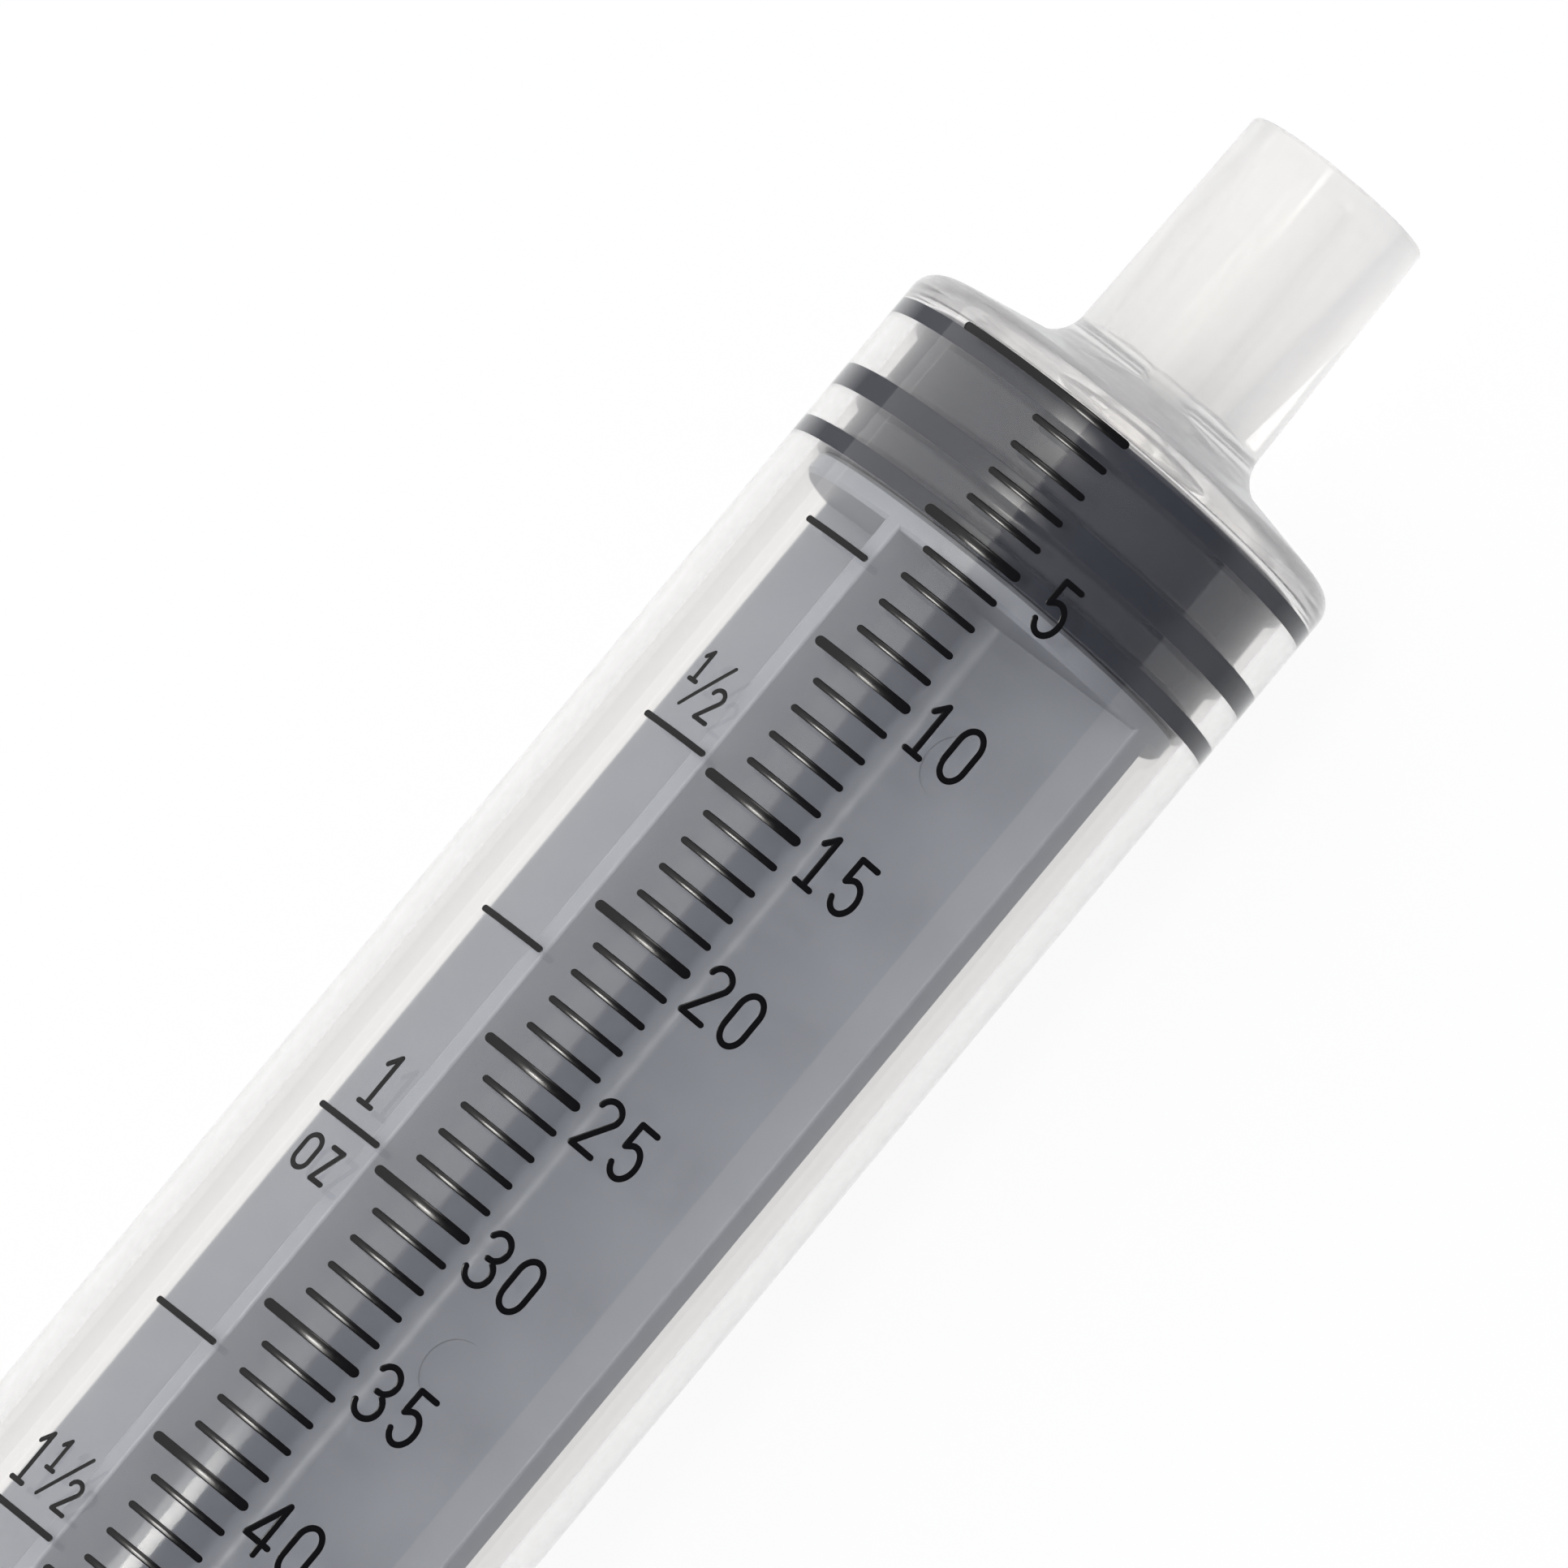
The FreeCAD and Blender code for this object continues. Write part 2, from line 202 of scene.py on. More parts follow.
def clear_polypropylene():
    """Moulded clear polypropylene: a faint milky haze, a soft gloss, and flow lines along the barrel.
    Light that has bounced about inside the wall comes out white, as the haze scatters it."""
    material = bpy.data.materials.new("clear_moulded_polypropylene")
    tree = new_tree(material)
    plastic = add_node(
        tree,
        "ShaderNodeBsdfPrincipled",
        {},
        {"Base Color": linear("#FDFCFB"), "Roughness": 0.05, "IOR": 1.49, "Transmission Weight": 1.0},
    )
    place = add_node(tree, "ShaderNodeTexCoord", {}, {})
    # flow lines about 1.5 mm wide and 25 mm long
    stretched = add_node(
        tree,
        "ShaderNodeMapping",
        {},
        {"Vector": place.outputs["Object"], "Scale": (0.06, 1.0, 1.0)},
    )
    flow = add_node(
        tree,
        "ShaderNodeTexNoise",
        {},
        {"Vector": stretched.outputs["Vector"], "Scale": pattern_scale(1.538), "Detail": 2.0},
    )
    # the thick shoulder and the collar are milkier and a little greyer than the tube
    split = add_node(tree, "ShaderNodeSeparateXYZ", {}, {"Vector": place.outputs["Object"]})
    thick = add_node(
        tree,
        "ShaderNodeMapRange",
        {"interpolation_type": "SMOOTHSTEP"},
        {"Value": split.outputs["X"], "From Min": zero_x * MM, "From Max": (zero_x + HAZE_RAMP) * MM},
    )
    tint = add_node(
        tree,
        "ShaderNodeMix",
        {"data_type": "RGBA"},
        {"Factor": thick.outputs["Result"], 6: linear("#F8F6F5"), 7: linear("#EFEEED")},
    )
    lit_front = add_node(tree, "ShaderNodeBsdfDiffuse", {}, {"Color": tint.outputs[2]})
    lit_through = add_node(tree, "ShaderNodeBsdfTranslucent", {}, {"Color": tint.outputs[2]})
    milk = add_node(
        tree,
        "ShaderNodeMixShader",
        {},
        {"Fac": 0.5, 1: lit_front.outputs["BSDF"], 2: lit_through.outputs["BSDF"]},
    )
    settled = add_node(
        tree,
        "ShaderNodeMapRange",
        {},
        {"Value": thick.outputs["Result"], "To Min": TUBE_HAZE, "To Max": SHOULDER_HAZE},
    )
    streaks = add_node(
        tree,
        "ShaderNodeMapRange",
        {},
        {"Value": flow.outputs[0], "To Min": 0.92, "To Max": 1.08},
    )
    local = add_node(
        tree,
        "ShaderNodeMath",
        {"operation": "MULTIPLY"},
        {0: settled.outputs["Result"], 1: streaks.outputs["Result"]},
    )
    path = add_node(tree, "ShaderNodeLightPath", {}, {})
    lost = add_node(
        tree,
        "ShaderNodeMapRange",
        {},
        {
            "Value": path.outputs["Ray Depth"],
            "From Min": 2.0,
            "From Max": 6.0,
            "To Min": 0.0,
            "To Max": 0.9,
        },
    )
    haze = add_node(
        tree,
        "ShaderNodeMath",
        {"operation": "MAXIMUM"},
        {0: local.outputs[0], 1: lost.outputs["Result"]},
    )
    hazy = add_node(
        tree,
        "ShaderNodeMixShader",
        {},
        {"Fac": haze.outputs[0], 1: plastic.outputs["BSDF"], 2: milk.outputs["Shader"]},
    )
    # the lamps light what is inside the barrel straight through its wall
    open_to_lamps = add_node(tree, "ShaderNodeBsdfTransparent", {}, {"Color": linear("#FFFFFF")})
    mixed = add_node(
        tree,
        "ShaderNodeMixShader",
        {},
        {
            "Fac": path.outputs["Is Shadow Ray"],
            1: hazy.outputs["Shader"],
            2: open_to_lamps.outputs["BSDF"],
        },
    )
    add_node(tree, "ShaderNodeOutputMaterial", {}, {"Surface": mixed.outputs["Shader"]})
    return material


def grey_polypropylene():
    """Grey moulded polypropylene: satin, with slow changes of tone and a fine grain. The grain of the real
    moulding is finer, and is drawn 0.2 mm coarse so that it shows."""
    material = bpy.data.materials.new("grey_satin_polypropylene")
    tree = new_tree(material)
    place = add_node(tree, "ShaderNodeTexCoord", {}, {})
    cloud = add_node(
        tree,
        "ShaderNodeTexNoise",
        {},
        {"Vector": place.outputs["Object"], "Scale": pattern_scale(4.545), "Detail": 3.0},
    )
    grain = add_node(
        tree,
        "ShaderNodeTexNoise",
        {},
        {"Vector": place.outputs["Object"], "Scale": pattern_scale(0.2), "Detail": 2.0},
    )
    tone = add_node(
        tree,
        "ShaderNodeMix",
        {"data_type": "RGBA"},
        {"Factor": cloud.outputs[0], 6: linear("#7D818A"), 7: linear("#898D95")},
    )
    bump = add_node(
        tree,
        "ShaderNodeBump",
        {},
        {"Height": grain.outputs[0], "Strength": 0.15, "Distance": 0.02 * MM},
    )
    plastic = add_node(
        tree,
        "ShaderNodeBsdfPrincipled",
        {},
        {
            "Base Color": tone.outputs[2],
            "Roughness": 0.38,
            "Normal": bump.outputs["Normal"],
            "IOR": 1.49,
        },
    )
    add_node(tree, "ShaderNodeOutputMaterial", {}, {"Surface": plastic.outputs["BSDF"]})
    return material


def grey_rubber():
    """Dark grey moulded rubber with a film of silicone oil: a smooth, wet-looking sheen over a faint
    speckle, two thirds of a millimetre wide."""
    material = bpy.data.materials.new("dark_grey_lubricated_rubber")
    tree = new_tree(material)
    place = add_node(tree, "ShaderNodeTexCoord", {}, {})
    speckle = add_node(
        tree,
        "ShaderNodeTexNoise",
        {},
        {"Vector": place.outputs["Object"], "Scale": pattern_scale(2 / 3), "Detail": 3.0},
    )
    tone = add_node(
        tree,
        "ShaderNodeMix",
        {"data_type": "RGBA"},
        {"Factor": speckle.outputs[0], 6: linear("#2B2E37"), 7: linear("#32353F")},
    )
    bump = add_node(
        tree,
        "ShaderNodeBump",
        {},
        {"Height": speckle.outputs[0], "Strength": 0.05, "Distance": 0.02 * MM},
    )
    rubber = add_node(
        tree,
        "ShaderNodeBsdfPrincipled",
        {},
        {
            "Base Color": tone.outputs[2],
            "Roughness": 0.25,
            "Normal": bump.outputs["Normal"],
            "IOR": 1.52,
        },
    )
    add_node(tree, "ShaderNodeOutputMaterial", {}, {"Surface": rubber.outputs["BSDF"]})
    return material


def black_ink():
    """Screen-printed black ink, cured glossy: raised, with a skin that catches the lamp and is a little
    uneven every third of a millimetre."""
    material = bpy.data.materials.new("black_gloss_ink")
    tree = new_tree(material)
    place = add_node(tree, "ShaderNodeTexCoord", {}, {})
    mottle = add_node(
        tree,
        "ShaderNodeTexNoise",
        {},
        {"Vector": place.outputs["Object"], "Scale": pattern_scale(1 / 3), "Detail": 2.0},
    )
    gloss = add_node(
        tree,
        "ShaderNodeMapRange",
        {},
        {"Value": mottle.outputs[0], "To Min": 0.1, "To Max": 0.2},
    )
    ink = add_node(
        tree,
        "ShaderNodeBsdfPrincipled",
        {},
        {"Base Color": linear("#0C0B0E"), "Roughness": gloss.outputs["Result"], "IOR": 1.43},
    )
    add_node(tree, "ShaderNodeOutputMaterial", {}, {"Surface": ink.outputs["BSDF"]})
    return material


def make_piece(name, points, faces, material, body):
    """A smooth-shaded piece from points in millimetres, with its sharper edges kept crisp."""
    mesh = bpy.data.meshes.new(name)
    mesh.from_pydata([(x * MM, y * MM, z * MM) for x, y, z in points], [], faces)
    made = bmesh.new()
    made.from_mesh(mesh)
    bmesh.ops.recalc_face_normals(made, faces=made.faces)
    made.to_mesh(mesh)
    made.free()
    mesh.shade_smooth()
    mesh.set_sharp_from_angle(angle=math.radians(CREASE_ANGLE))
    mesh.materials.append(material)
    piece = bpy.data.objects.new(name, mesh)
    bpy.context.scene.collection.objects.link(piece)
    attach(piece, body)
    return piece


def direction(a, b):
    """The unit direction from a to b in a plane."""
    length = math.dist(a, b)
    return (b[0] - a[0]) / length, (b[1] - a[1]) / length


def rounded(corners):
    """The points of an open half section through corners (x, r, rounding), with an arc at each rounding.
    The first and last corners stay sharp."""
    points = [corners[0][:2]]
    for last, (x, r, rounding), following in zip(corners, corners[1:], corners[2:]):
        if rounding == 0:
            points.append((x, r))
            continue
        before = direction((x, r), last[:2])
        after = direction((x, r), following[:2])
        half = math.acos(before[0] * after[0] + before[1] * after[1]) / 2
        reach = rounding / math.tan(half)
        middle = direction((0, 0), (before[0] + after[0], before[1] + after[1]))
        centre_reach = rounding / math.sin(half)
        centre = (x + centre_reach * middle[0], r + centre_reach * middle[1])
        start = (x + reach * before[0] - centre[0], r + reach * before[1] - centre[1])
        sweep = math.pi - 2 * half
        if start[0] * after[1] - start[1] * after[0] < 0:
            sweep = -sweep
        steps = max(2, math.ceil(abs(math.degrees(sweep)) / ARC_STEP))
        for step in range(steps + 1):
            c, s = math.cos(sweep * step / steps), math.sin(sweep * step / steps)
            points.append((centre[0] + start[0] * c - start[1] * s, centre[1] + start[0] * s + start[1] * c))
    points.append(corners[-1][:2])
    return points


def on_barrel(x, angle, r):
    """A point at x along the axis, at an angle round it and r from it."""
    turn = math.radians(angle)
    return x, r * math.sin(turn), axis_z + r * math.cos(turn)


def turned(section, closed):
    """Points and faces of a half section swept round the axis. A radius may be a number or a function of
    the angle. An open section starts and ends on the axis."""
    points, rows = [], []
    for x, r in section:
        on_axis = not callable(r) and r == 0
        angles = [0] if on_axis else [360 * i / COLUMNS for i in range(COLUMNS)]
        rows.append(range(len(points), len(points) + len(angles)))
        points += [on_barrel(x, angle, r(angle) if callable(r) else r) for angle in angles]
    faces = []
    pairs = list(zip(rows, rows[1:])) + ([(rows[-1], rows[0])] if closed else [])
    for lower, upper in pairs:
        for i in range(COLUMNS):
            j = (i + 1) % COLUMNS
            if len(lower) == 1:
                faces.append((lower[0], upper[j], upper[i]))
            elif len(upper) == 1:
                faces.append((lower[i], lower[j], upper[0]))
            else:
                faces.append((lower[i], lower[j], upper[j], upper[i]))
    return points, faces


def face_x(r):
    """Where the stopper's coned face lies at radius r."""
    return zero_x + (bore_r - r) * shoulder_slope


def shoulder_inside_x(r):
    """Where the inside of the shoulder's cone lies at radius r."""
    return face_x(r) + FACE_GAP / shoulder_cos


def shoulder_outside_x(r):
    """Where the outside of the shoulder's cone lies at radius r."""
    return shoulder_inside_x(r) + SHOULDER_WALL / shoulder_cos


def flange_reach(inset, angle):
    """How far the oblong flange reaches at an angle, drawn in by an inset: flats, corner arcs and ends."""
    across, up = abs(math.sin(math.radians(angle))), abs(math.cos(math.radians(angle)))
    flat = flange_half_height - inset
    end = flange_half_span - inset
    corner_r = FLANGE_CORNER_ROUND - inset
    corner_up = flange_half_height - FLANGE_CORNER_ROUND
    corner_across = math.sqrt((flange_half_span - FLANGE_CORNER_ROUND) ** 2 - corner_up**2)
    if across * flat < corner_across * up:
        return flat / up
    if across * corner_up > corner_across * up:
        return end
    along = corner_across * across + corner_up * up
    return along + math.sqrt(along**2 - corner_across**2 - corner_up**2 + corner_r**2)


def flange_section():
    """The flange from its front face, round its edge and to its rear face, with both rims rounded."""
    front_rim = (flange_front_x - FLANGE_EDGE_ROUND, 1, (0, 30, 60, 90))
    rear_rim = (flange_rear_x + FLANGE_EDGE_ROUND, -1, (90, 60, 30, 0))
    points = []
    for centre_x, towards, turns in (front_rim, rear_rim):
        for turn in turns:
            inset = FLANGE_EDGE_ROUND * (1 - math.sin(math.radians(turn)))
            x = centre_x + towards * FLANGE_EDGE_ROUND * math.cos(math.radians(turn))
            points.append((x, partial(flange_reach, inset)))
    return points


def make_barrel(material):
    """The clear moulding: mouth, flange, tube, shoulder, collar and nozzle, as one closed skin."""
    collar_base_r = COLLAR_BORE_R + COLLAR_BASE_WALL
    collar_end_r = COLLAR_BORE_R + COLLAR_END_WALL
    floor_x = collar_end_x - COLLAR_DEPTH
    tip_x = collar_end_x - NOZZLE_SETBACK
    nozzle_root_r = NOZZLE_TIP_R + (tip_x - floor_x) * NOZZLE_SLOPE
    mouth_r = bore_r + MOUTH_CHAMFER
    ridge_x = flange_rear_x + MOUTH_LENGTH
    ridge_end_x = ridge_x + RIDGE_WIDTH
    # each half section starts and ends with a point that only aims its first or last rounding
    front = [
        (ridge_end_x, bore_r, 0),
        (shoulder_inside_x(bore_r), bore_r, BORE_CORNER_ROUND),
        (shoulder_inside_x(NOZZLE_BORE_R), NOZZLE_BORE_R, NOZZLE_INLET_ROUND),
        (tip_x, NOZZLE_BORE_R, NOZZLE_OUTLET_ROUND),
        (tip_x, NOZZLE_TIP_R, NOZZLE_TIP_ROUND),
        (floor_x, nozzle_root_r, COLLAR_FLOOR_ROUND),
        (floor_x, COLLAR_BORE_R, COLLAR_FLOOR_ROUND),
        (collar_end_x, COLLAR_BORE_R, COLLAR_RIM_ROUND),
        (collar_end_x, collar_end_r, COLLAR_RIM_ROUND),
        (shoulder_outside_x(collar_base_r), collar_base_r, COLLAR_ROOT_FILLET),
        (shoulder_outside_x(barrel_r), barrel_r, SHOULDER_ROUND),
        (flange_front_x, barrel_r, FLANGE_ROOT_ROUND),
        (flange_front_x, flange_half_height, 0),
    ]
    mouth = [
        (flange_rear_x, flange_half_height, 0),
        (flange_rear_x, mouth_r, MOUTH_ROUND),
        (flange_rear_x + MOUTH_CHAMFER, bore_r, MOUTH_ROUND),
        (ridge_x, bore_r, RIDGE_FOOT_ROUND),
        (ridge_x + RIDGE_WIDTH / 2, bore_r - RIDGE_HEIGHT, RIDGE_TOP_ROUND),
        (ridge_end_x, bore_r, RIDGE_FOOT_ROUND),
        (shoulder_inside_x(bore_r), bore_r, 0),
    ]
    section = rounded(front)[1:-1] + flange_section() + rounded(mouth)[1:-1]
    points, faces = turned(section, closed=True)
    piece = make_piece("clear_barrel", points, faces, material, "barrel")
    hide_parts("barrel")


def make_stopper(material):
    """The rubber stopper, with its rings pressed against the bore and hollow waists between them."""
    corners = [
        (face_x(NOSE_R), 0, 0),
        (face_x(NOSE_R), NOSE_R, NOSE_ROUND),
        (face_x(ring_r), ring_r, FACE_EDGE_ROUND),
    ]
    for i, (start, end) in enumerate(RINGS):
        if i > 0:
            corners.append((zero_x - start + RING_FLANK, waist_r, WAIST_ROUND))
            corners.append((zero_x - start, ring_r, RING_EDGE_ROUND))
        corners.append((zero_x - end, ring_r, RING_EDGE_ROUND))
        if i < len(RINGS) - 1:
            corners.append((zero_x - end - RING_FLANK, waist_r, WAIST_ROUND))
    neck_x = stopper_rear_x + SOCKET_NECK_LENGTH
    socket_x = stopper_rear_x + SOCKET_DEPTH
    corners += [
        (stopper_rear_x, SOCKET_NECK_R, SOCKET_EDGE_ROUND),
        (neck_x, SOCKET_NECK_R, SOCKET_EDGE_ROUND),
        (neck_x, SOCKET_R, SOCKET_EDGE_ROUND),
        (socket_x, SOCKET_R, SOCKET_FLOOR_ROUND),
        (socket_x, 0, 0),
    ]
    points, faces = turned(rounded(corners), closed=False)
    piece = make_piece("ribbed_stopper", points, faces, material, "stopper")
    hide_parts("stopper")


def bow(centre, width_r, height_r, start, end):
    """Points of an elliptical arc between two angles, counted anticlockwise from the right."""
    steps = max(3, math.ceil(abs(end - start) / FIGURE_STEP))
    angles = [math.radians(start + (end - start) * i / steps) for i in range(steps + 1)]
    return [(centre[0] + width_r * math.cos(a), centre[1] + height_r * math.sin(a)) for a in angles]


# Centre lines of the figures, from the left and the foot. Each is a list of smooth strokes.
GLYPH_WIDTH = 1.4
GLYPH_HEIGHT = 3.2
GLYPHS = {
    "0": [[*bow((0.7, 2.25), 0.7, 0.95, 180, 0), *bow((0.7, 0.95), 0.7, 0.95, 0, -180), (0.0, 2.25)]],
    "1": [[(0.29, 2.52), (0.83, 3.2)], [(0.83, 3.2), (0.83, 0)], [(0.29, 0), (1.3, 0)]],
    "2": [[*bow((0.72, 2.5), 0.66, 0.7, 170, -35), (0.02, 0.04)], [(0.02, 0), (1.42, 0)]],
    "3": [bow((0.68, 2.42), 0.68, 0.8, 155, -62), [(0.6, 1.62), (0.98, 1.66)],
          bow((0.68, 0.78), 0.74, 0.84, 62, -165)],
    "4": [[(1.06, 3.2), (-0.02, 0.64)], [(-0.02, 0.64), (1.5, 0.64)], [(1.06, 3.2), (1.08, -0.1)]],
    "5": [[(1.24, 3.2), (0.16, 3.2)], [(0.16, 3.2), (0.13, 1.72)],
          [(0.13, 1.72), *bow((0.72, 1.02), 0.7, 1.02, 122, -155)]],
    "6": [bow((1.25, 0.98), 1.25, 2.22, 92, 180), bow((0.7, 0.98), 0.7, 0.98, 180, -180)],
    "o": [[*bow((0.56, 1.5), 0.56, 0.6, 180, 0), *bow((0.56, 0.6), 0.56, 0.6, 0, -180), (0.0, 1.5)]],
    "z": [[(0.02, 2.08), (0.84, 2.08)], [(0.84, 2.08), (0.04, 0.0)], [(0.04, 0.0), (0.9, 0.0)]],
}


def dense(points):
    """A stroke's points with more put between them, no further apart than a step."""
    filled = [points[0]]
    for a, b in zip(points, points[1:]):
        steps = max(1, math.ceil(math.dist(a, b) / INK_STEP))
        for i in range(1, steps + 1):
            filled.append((a[0] + (b[0] - a[0]) * i / steps, a[1] + (b[1] - a[1]) * i / steps))
    return filled


def ink_stroke(stroke, width, points, faces):
    """Adds one raised stroke with round ends. Its points are (right along the print, forward in x)."""
    line = dense(stroke)
    looped = math.dist(line[0], line[-1]) < 1e-6
    ribs = []
    for i, point in enumerate(line):
        before = line[i - 1] if i > 0 else (line[-2] if looped else point)
        after = line[i + 1] if i < len(line) - 1 else (line[1] if looped else point)
        ribs.append((point, direction(before, after), 1.0))
    if not looped:
        first, last = ribs[0], ribs[-1]
        for degrees in (30, 60, 85):
            out, narrow = math.sin(math.radians(degrees)), math.cos(math.radians(degrees))
            for (point, along, _), sign in ((first, -1), (last, 1)):
                reach = sign * out * width / 2
                rib = ((point[0] + along[0] * reach, point[1] + along[1] * reach), along, narrow)
                ribs.insert(0 if sign < 0 else len(ribs), rib)
    lanes = [math.radians(a) for a in (180, 150, 120, 90, 60, 30, 0)]
    start = len(points)
    for (right, forward), along, share in ribs:
        for lane in lanes:
            side = share * width / 2 * math.cos(lane)
            height = share * INK_HEIGHT * math.sin(lane)
            u, v = right - along[1] * side, forward + along[0] * side
            points.append(on_barrel(v, -math.degrees(u / barrel_r), barrel_r + height - INK_ROOT))
    rows = len(ribs)
    for i in range(rows if looped else rows - 1):
        for j in range(len(lanes)):
            k = (j + 1) % len(lanes)
            a, b = start + i * len(lanes), start + (i + 1) % rows * len(lanes)
            faces.append((a + j, b + j, b + k, a + k))
    if not looped:
        faces.append([start + j for j in range(len(lanes))])
        faces.append([start + (rows - 1) * len(lanes) + j for j in reversed(range(len(lanes)))])


def write(text, left, foot_x, scale, width, points, faces):
    """Adds a line of figures, each one pitch from the last."""
    for i, letter in enumerate(text):
        start = left + i * NUMBER_PITCH * scale
        for stroke in GLYPHS[letter]:
            moved = [(start + right * scale, foot_x + up * scale) for right, up in stroke]
            ink_stroke(moved, width, points, faces)


def write_half(left, foot_x, points, faces):
    """Adds the fraction one half, with its slash starting at the left."""
    for figure, (right, up, scale) in (("1", HALF_ONE), ("2", HALF_TWO)):
        write(figure, left + right, foot_x + up, scale, FRACTION_STROKE, points, faces)
    slash = [(left + right, foot_x + up) for right, up in HALF_SLASH]
    ink_stroke(slash, SLASH_STROKE, points, faces)


def ounce_x(ounces):
    """Where the tick of a number of ounces lies."""
    return print_x + OUNCE_SHIFT - ounces * OUNCE_ML * ml_length


def ounce_labels(points, faces):
    """Adds the labels of the half and whole ounces, and the unit under the first whole one."""
    for ounces, text, left in OUNCE_LABELS:
        foot_x = ounce_x(ounces) + LABEL_LIFT
        if text == "1/2":
            write_half(left, foot_x, points, faces)
        else:
            write(text, left, foot_x, 1.0, LABEL_STROKE, points, faces)
    for letter, left in UNIT_LETTERS:
        write(letter, left, ounce_x(1) - UNIT_DROP, 1.0, LABEL_STROKE, points, faces)


def make_print(material):
    """The scales in millilitres and ounces, as raised ink on the outside of the barrel."""
    names = ("zero_line", "ml_ticks", "ml_numbers", "ounce_ticks", "ounce_labels")
    pieces = {name: ([], []) for name in names}
    ink_stroke([(ZERO_LEFT, print_x), (TICK_RIGHT, print_x)], ZERO_STROKE, *pieces["zero_line"])
    for ml in range(1, CAPACITY_ML + 1):
        x = print_x - ml * ml_length
        if ml % 5 == 0:
            ink_stroke([(MAJOR_LEFT, x), (TICK_RIGHT, x)], MAJOR_STROKE, *pieces["ml_ticks"])
            text = str(ml)
            left = NUMBER_MIDDLE - (GLYPH_WIDTH + NUMBER_PITCH * (len(text) - 1)) / 2
            write(text, left, x - GLYPH_HEIGHT / 2, 1.0, DIGIT_STROKE, *pieces["ml_numbers"])
        else:
            ink_stroke([(MINOR_LEFT, x), (TICK_RIGHT, x)], MINOR_STROKE, *pieces["ml_ticks"])
    for quarter in range(1, 9):
        x = ounce_x(quarter / 4)
        ink_stroke([(OUNCE_LEFT, x), (OUNCE_RIGHT, x)], OUNCE_STROKE, *pieces["ounce_ticks"])
    ounce_labels(*pieces["ounce_labels"])
    for name, (points, faces) in pieces.items():
        make_piece(name, points, faces, material, "barrel")


def dress_rod(material):
    """The rod keeps its modelled form and gets its moulded finish."""
    rod = frame["nodes"]["plunger_rod"]
    rod.data.materials.clear()
    rod.data.materials.append(material)


# Studio. A radiance of 1 is full white to the camera.
AMBIENT = 0.62  # the light that comes from all round
WALL = 0.1  # what gloss mirrors all round
CEILING = 0.1  # and overhead
WALL_TOP = 0.35  # the upward part of a unit direction at which the wall has turned to ceiling
FLOOR_WHITENESS = 0.93
FLOOR_HALF_SIZE = 3000.0
NEAR_FLOOR_Y = 10.0  # the middle of the floor that gloss mirrors as white
NEAR_FLOOR = 24.0  # how far that white reaches to each side
FAR_FLOOR = 50.0  # from here on gloss mirrors the floor as dark
FAR_FLOOR_GLOW = 0.05


def unscattered(tree):
    """1 for rays from the camera, straight, mirrored or through clear plastic, and 0 for scattered light."""
    path = add_node(tree, "ShaderNodeLightPath", {}, {})
    bounced = add_node(
        tree,
        "ShaderNodeMath",
        {"operation": "MAXIMUM"},
        {0: path.outputs["Is Glossy Ray"], 1: path.outputs["Is Transmission Ray"]},
    )
    seen = add_node(
        tree,
        "ShaderNodeMath",
        {"operation": "MAXIMUM"},
        {0: path.outputs["Is Camera Ray"], 1: bounced.outputs[0]},
    )
    never_scattered = add_node(
        tree,
        "ShaderNodeMath",
        {"operation": "LESS_THAN"},
        {0: path.outputs["Diffuse Depth"], 1: 0.5},
    )
    both = add_node(
        tree,
        "ShaderNodeMath",
        {"operation": "MULTIPLY"},
        {0: seen.outputs[0], 1: never_scattered.outputs[0]},
    )
    return both.outputs[0]


def make_surround():
    """The studio all round: white to the camera, dark in gloss, and a soft cool light on everything. The
    wall and the ceiling are worked out from the direction, so the surround also counts as a lamp, and its
    light comes through the clear wall like that of the others."""
    world = bpy.data.worlds.new("studio")
    bpy.context.scene.world = world
    tree = new_tree(world)
    place = add_node(tree, "ShaderNodeTexCoord", {}, {})
    split = add_node(tree, "ShaderNodeSeparateXYZ", {}, {"Vector": place.outputs["Generated"]})
    wall = add_node(
        tree,
        "ShaderNodeMapRange",
        {},
        {
            "Value": split.outputs["Z"],
            "From Min": 0.0,
            "From Max": WALL_TOP,
            "To Min": WALL,
            "To Max": CEILING,
        },
    )
    path = add_node(tree, "ShaderNodeLightPath", {}, {})
    brightness = add_node(
        tree,
        "ShaderNodeMath",
        {"operation": "MAXIMUM"},
        {0: path.outputs["Is Camera Ray"], 1: wall.outputs["Result"]},
    )
    white = add_node(
        tree,
        "ShaderNodeBackground",
        {},
        {"Color": linear("#FFFFFF"), "Strength": brightness.outputs[0]},
    )
    dim = add_node(tree, "ShaderNodeBackground", {}, {"Color": linear("#EAEFFA"), "Strength": AMBIENT})
    mixed = add_node(
        tree,
        "ShaderNodeMixShader",
        {},
        {"Fac": unscattered(tree), 1: dim.outputs["Background"], 2: white.outputs["Background"]},
    )
    add_node(tree, "ShaderNodeOutputWorld", {}, {"Surface": mixed.outputs["Shader"]})


